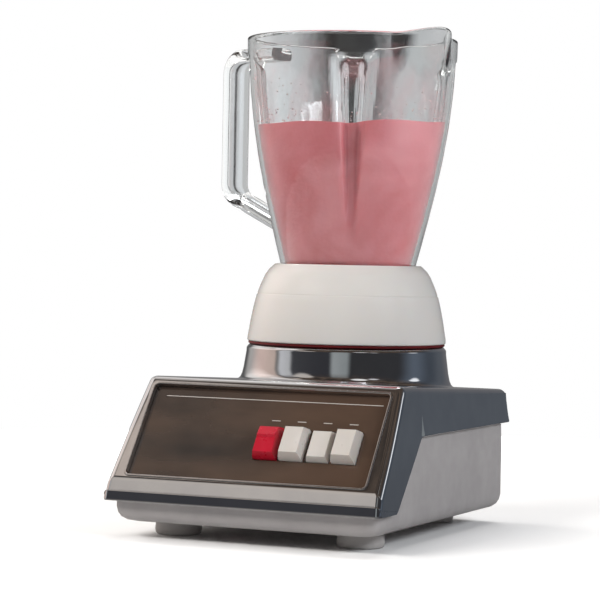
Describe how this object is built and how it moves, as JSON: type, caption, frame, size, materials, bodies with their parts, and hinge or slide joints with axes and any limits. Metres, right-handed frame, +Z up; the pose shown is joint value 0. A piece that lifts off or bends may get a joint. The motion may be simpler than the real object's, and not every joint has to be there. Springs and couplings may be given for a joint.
{
  "type": "countertop blender",
  "caption": "Countertop blender with a sloped push-button chrome base, round turret, bell collar and a fluted glass jar with handle and spout.",
  "frame": {"origin": "on the drive axis of motor and blades, in the plane that the feet stand on", "axes": "+Z up along the drive axis; -Y towards the control panel; +X to the right of someone facing the panel"},
  "size_m": [0.1929, 0.224, 0.3066],
  "materials": {
    "housing_grey": "moulded mid-grey plastic, low gloss",
    "chrome": "bright chrome plate on pressed steel",
    "panel_black": "glossy dark brown-black plate",
    "key_red": "moulded red, satin",
    "key_white": "moulded warm white, satin",
    "black_moulding": "black moulded plastic",
    "foot_rubber": "grey moulded rubber",
    "plated_steel": "zinc plated",
    "black_rubber": "black moulded rubber",
    "seat_red": "dark red rubber",
    "lamination_steel": "stacked laminations, varnished edges",
    "copper_wire": "enamelled copper",
    "ground_steel": "ground and polished",
    "fan_nylon": "natural nylon",
    "die_cast": "die cast, tumbled",
    "sintered_bronze": "oil-filled sintered bronze",
    "carbon": "pressed carbon",
    "coupling_rubber": "hard black rubber",
    "capacitor_blue": "dipped blue",
    "lead_sleeve": "brown insulation",
    "collar_white": "glossy warm white plastic",
    "blade_steel": "stamped and ground stainless steel",
    "clear_glass": "clear pressed glass"
  },
  "bodies": {
    "base": {"lower_housing": "housing_grey", "upper_housing": "chrome", "control_plate": "panel_black", "panel_bezel": "chrome", "switch_body": "black_moulding", "circuit_breaker": "black_moulding", "foot_front_left": "foot_rubber", "foot_front_right": "foot_rubber", "foot_rear_left": "foot_rubber", "foot_rear_right": "foot_rubber", "foot_screws": "plated_steel", "housing_screws": "plated_steel", "cord_gland": "black_rubber", "seat_ring": "seat_red", "jar_locator": "black_moulding", "locator_screws": "plated_steel", "motor_stator": "lamination_steel", "field_coil_left": "copper_wire", "field_coil_right": "copper_wire", "upper_bracket": "die_cast", "lower_bracket": "die_cast", "upper_bush": "sintered_bronze", "lower_bush": "sintered_bronze", "brush_holder_left": "black_moulding", "brush_holder_right": "black_moulding", "carbon_brush_left": "carbon", "carbon_brush_right": "carbon", "brush_spring_left": "plated_steel", "brush_spring_right": "plated_steel", "motor_bolts": "plated_steel", "motor_posts": "plated_steel", "motor_grommets": "black_rubber", "suppressor": "capacitor_blue", "supply_leads": "lead_sleeve"},
    "off_key": {"off_button": "key_red"},
    "grate_key": {"grate_button": "key_white"},
    "liquefy_key": {"liquefy_button": "key_white"},
    "pulse_key": {"pulse_button": "key_white"},
    "reset_key": {"reset_button": "key_red"},
    "rotor": {"motor_shaft": "ground_steel", "armature_core": "lamination_steel", "armature_windings": "copper_wire", "commutator": "copper_wire", "cooling_fan": "fan_nylon", "slinger_washer": "black_rubber", "drive_coupling": "coupling_rubber"},
    "collar_set": {"collar": "collar_white", "blade_base": "die_cast", "upper_spindle_bush": "sintered_bronze", "lower_spindle_bush": "sintered_bronze"},
    "agitator": {"blade_shaft": "ground_steel", "lower_blade": "blade_steel", "upper_blade": "blade_steel", "blade_washers": "fan_nylon", "cap_nut": "blade_steel", "driven_coupling": "coupling_rubber"},
    "seal": {"seal_ring": "black_rubber"},
    "jar_body": {"jar": "clear_glass"}
  },
  "joints": [
    {"name": "off_press", "type": "slide", "parent": "base", "child": "off_key", "axis": [0, 0.8142, -0.5806], "range_m": [0, 0.004], "stiffness_N_per_m": 300, "springref_m": -0.003},
    {"name": "grate_press", "type": "slide", "parent": "base", "child": "grate_key", "axis": [0, 0.8142, -0.5806], "range_m": [0, 0.004], "stiffness_N_per_m": 300, "springref_m": -0.003},
    {"name": "liquefy_press", "type": "slide", "parent": "base", "child": "liquefy_key", "axis": [0, 0.8142, -0.5806], "range_m": [-0.0035, 0.0005]},
    {"name": "pulse_press", "type": "slide", "parent": "base", "child": "pulse_key", "axis": [0, 0.8142, -0.5806], "range_m": [0, 0.004], "stiffness_N_per_m": 300, "springref_m": -0.003},
    {"name": "reset_press", "type": "slide", "parent": "base", "child": "reset_key", "axis": [0, 0, 1], "range_m": [0, 0.002], "stiffness_N_per_m": 300, "springref_m": -0.003},
    {"name": "motor_spin", "type": "hinge", "parent": "base", "child": "rotor", "pos_m": [0, 0, 0.06], "axis": [0, 0, 1], "continuous": true},
    {"name": "jar_lift", "type": "slide", "parent": "base", "child": "collar_set", "axis": [0, 0, 1], "range_m": [0, 0.13]},
    {"name": "blade_spin", "type": "hinge", "parent": "collar_set", "child": "agitator", "pos_m": [0, 0, 0.15], "axis": [0, 0, 1], "continuous": true},
    {"name": "jar_unscrew", "type": "hinge", "parent": "collar_set", "child": "seal", "pos_m": [0, 0, 0.14], "axis": [0, 0, 1], "range_deg": [0, 540]},
    {"name": "jar_rise", "type": "slide", "parent": "seal", "child": "jar_body", "axis": [0, 0, 1], "range_m": [0, 0.00605]}
  ],
  "couplings": [
    {"joint": "blade_spin", "follows": "motor_spin", "ratio": 1},
    {"joint": "jar_rise", "follows": "jar_unscrew", "m_per_rad": 0.00063662}
  ]
}
